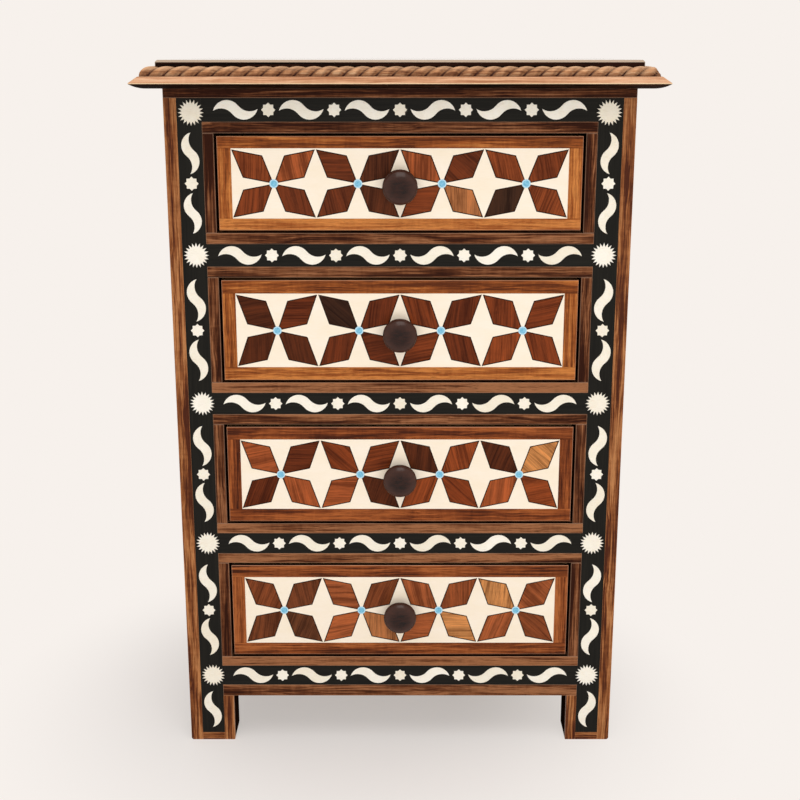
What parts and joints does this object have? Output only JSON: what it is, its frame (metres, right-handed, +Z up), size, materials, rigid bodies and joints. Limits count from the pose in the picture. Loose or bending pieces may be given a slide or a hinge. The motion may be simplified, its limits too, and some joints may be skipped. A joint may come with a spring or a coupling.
{
  "type": "nightstand",
  "caption": "Narrow wooden nightstand on short feet with stacked sliding drawers, an inlaid front, round knobs and a bevelled top with a rope moulding.",
  "frame": {"origin": "on the floor under the middle of the whole object's bounding box", "axes": "+Z up, -Y out of the front, towards the person who opens the drawers, +X to that person's right"},
  "size_m": [0.504, 0.35, 0.711],
  "materials": {
    "walnut": "oiled walnut",
    "light_walnut": "oiled reddish walnut",
    "dark_walnut": "oiled dark walnut",
    "black_wood": "black stained wood, satin",
    "bone": "polished bone-like inlay",
    "cream_panel": "smooth cream inlay ground",
    "rhomb_wood": "polished veneers of mixed reddish browns",
    "turquoise": "polished pale blue inlay",
    "knob_wood": "dark stained turned wood, semi-gloss",
    "box_wood": "plain planed softwood",
    "screw_steel": "zinc plated"
  },
  "bodies": {
    "carcass": {"left_front_post": "walnut", "right_front_post": "walnut", "back_posts": "walnut", "front_rails": "walnut", "frame_rails": "walnut", "left_side_panel": "walnut", "right_side_panel": "walnut", "back_panel": "walnut", "drawer_runners": "box_wood", "edge_strips": "light_walnut", "trim_strips": "dark_walnut", "black_bands": "black_wood", "bone_waves": "bone", "bone_stars": "bone", "bone_sunbursts": "bone", "case_top_board": "walnut", "cornice": "light_walnut", "rope_moulding": "light_walnut", "top_slab": "dark_walnut", "top_screws": "screw_steel"},
    "drawer_1": {"drawer_1_board": "box_wood", "drawer_1_frame": "light_walnut", "drawer_1_panel": "cream_panel", "drawer_1_rhombs": "rhomb_wood", "drawer_1_discs": "turquoise", "drawer_1_sides": "box_wood", "drawer_1_back": "box_wood", "drawer_1_bottom": "box_wood", "drawer_1_knob": "knob_wood", "drawer_1_knob_screw": "screw_steel"},
    "drawer_2": {"drawer_2_board": "box_wood", "drawer_2_frame": "light_walnut", "drawer_2_panel": "cream_panel", "drawer_2_rhombs": "rhomb_wood", "drawer_2_discs": "turquoise", "drawer_2_sides": "box_wood", "drawer_2_back": "box_wood", "drawer_2_bottom": "box_wood", "drawer_2_knob": "knob_wood", "drawer_2_knob_screw": "screw_steel"},
    "drawer_3": {"drawer_3_board": "box_wood", "drawer_3_frame": "light_walnut", "drawer_3_panel": "cream_panel", "drawer_3_rhombs": "rhomb_wood", "drawer_3_discs": "turquoise", "drawer_3_sides": "box_wood", "drawer_3_back": "box_wood", "drawer_3_bottom": "box_wood", "drawer_3_knob": "knob_wood", "drawer_3_knob_screw": "screw_steel"},
    "drawer_4": {"drawer_4_board": "box_wood", "drawer_4_frame": "light_walnut", "drawer_4_panel": "cream_panel", "drawer_4_rhombs": "rhomb_wood", "drawer_4_discs": "turquoise", "drawer_4_sides": "box_wood", "drawer_4_back": "box_wood", "drawer_4_bottom": "box_wood", "drawer_4_knob": "knob_wood", "drawer_4_knob_screw": "screw_steel"}
  },
  "joints": [
    {"name": "drawer_1_slide", "type": "slide", "parent": "carcass", "child": "drawer_1", "axis": [0, -1, 0], "range_m": [0, 0.2]},
    {"name": "drawer_2_slide", "type": "slide", "parent": "carcass", "child": "drawer_2", "axis": [0, -1, 0], "range_m": [0, 0.2]},
    {"name": "drawer_3_slide", "type": "slide", "parent": "carcass", "child": "drawer_3", "axis": [0, -1, 0], "range_m": [0, 0.2]},
    {"name": "drawer_4_slide", "type": "slide", "parent": "carcass", "child": "drawer_4", "axis": [0, -1, 0], "range_m": [0, 0.2]}
  ]
}
